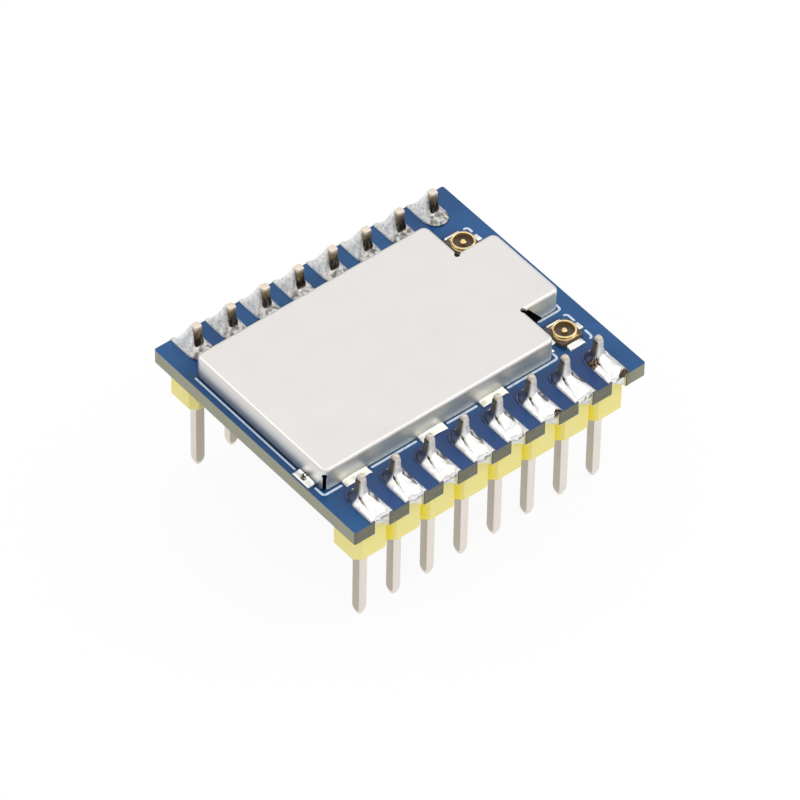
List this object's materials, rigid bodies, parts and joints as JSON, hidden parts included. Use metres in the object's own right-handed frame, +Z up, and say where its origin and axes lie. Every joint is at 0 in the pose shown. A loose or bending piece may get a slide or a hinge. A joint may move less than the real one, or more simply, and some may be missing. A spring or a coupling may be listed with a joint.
{
  "type": "shielded radio module on pin headers",
  "caption": "Radio module: blue castellated board on pin headers, with a folded metal shield can and small coax connectors for antennas.",
  "frame": {"origin": "under the middle of the board, on the plane that the pin points stand on", "axes": "+X along the header rows towards the coax connectors, +Y from the near row to the far row, +Z up out of the shield can"},
  "size_m": [0.0218, 0.0186, 0.0117],
  "materials": {
    "solder_mask": "smooth, half gloss",
    "tinned_copper": "tinned, half gloss",
    "can_sheet": "satin on top, bright at the bends",
    "header_plastic": "moulded, matte",
    "pin_plating": "tinned, dull",
    "solder": "glossy with dull patches",
    "gold_plating": "gold plated, glossy",
    "connector_base": "moulded, matte",
    "chip_package": "moulded, matte",
    "oscillator_lid": "satin",
    "coil_body": "pressed powder, matte",
    "capacitor_body": "ceramic, matte"
  },
  "bodies": {
    "root": {"circuit_board": "solder_mask", "plated_lands": "tinned_copper", "shield_can": "can_sheet", "header_housing_near": "header_plastic", "header_pin_near_1": "pin_plating", "header_pin_near_2": "pin_plating", "header_pin_near_3": "pin_plating", "header_pin_near_4": "pin_plating", "header_pin_near_5": "pin_plating", "header_pin_near_6": "pin_plating", "header_pin_near_7": "pin_plating", "header_pin_near_8": "pin_plating", "solder_joint_near_1": "solder", "solder_joint_near_2": "solder", "solder_joint_near_3": "solder", "solder_joint_near_4": "solder", "solder_joint_near_5": "solder", "solder_joint_near_6": "solder", "solder_joint_near_7": "solder", "solder_joint_near_8": "solder", "header_housing_far": "header_plastic", "header_pin_far_1": "pin_plating", "header_pin_far_2": "pin_plating", "header_pin_far_3": "pin_plating", "header_pin_far_4": "pin_plating", "header_pin_far_5": "pin_plating", "header_pin_far_6": "pin_plating", "header_pin_far_7": "pin_plating", "header_pin_far_8": "pin_plating", "solder_joint_far_1": "solder", "solder_joint_far_2": "solder", "solder_joint_far_3": "solder", "solder_joint_far_4": "solder", "solder_joint_far_5": "solder", "solder_joint_far_6": "solder", "solder_joint_far_7": "solder", "solder_joint_far_8": "solder", "can_solder_near_1": "solder", "can_solder_near_2": "solder", "can_solder_near_3": "solder", "can_solder_far_1": "solder", "can_solder_far_2": "solder", "can_solder_far_3": "solder", "can_solder_left": "solder", "can_solder_right": "solder", "coax_shell_near": "gold_plating", "coax_base_near": "connector_base", "coax_contact_near": "gold_plating", "coax_solder_near": "solder", "coax_shell_far": "gold_plating", "coax_base_far": "connector_base", "coax_contact_far": "gold_plating", "coax_solder_far": "solder", "transceiver_chip": "chip_package", "reference_oscillator": "oscillator_lid", "antenna_switch_near": "chip_package", "antenna_switch_far": "chip_package", "supply_coil": "coil_body", "chip_capacitors": "capacitor_body", "chip_coils": "coil_body"}
  },
  "joints": []
}
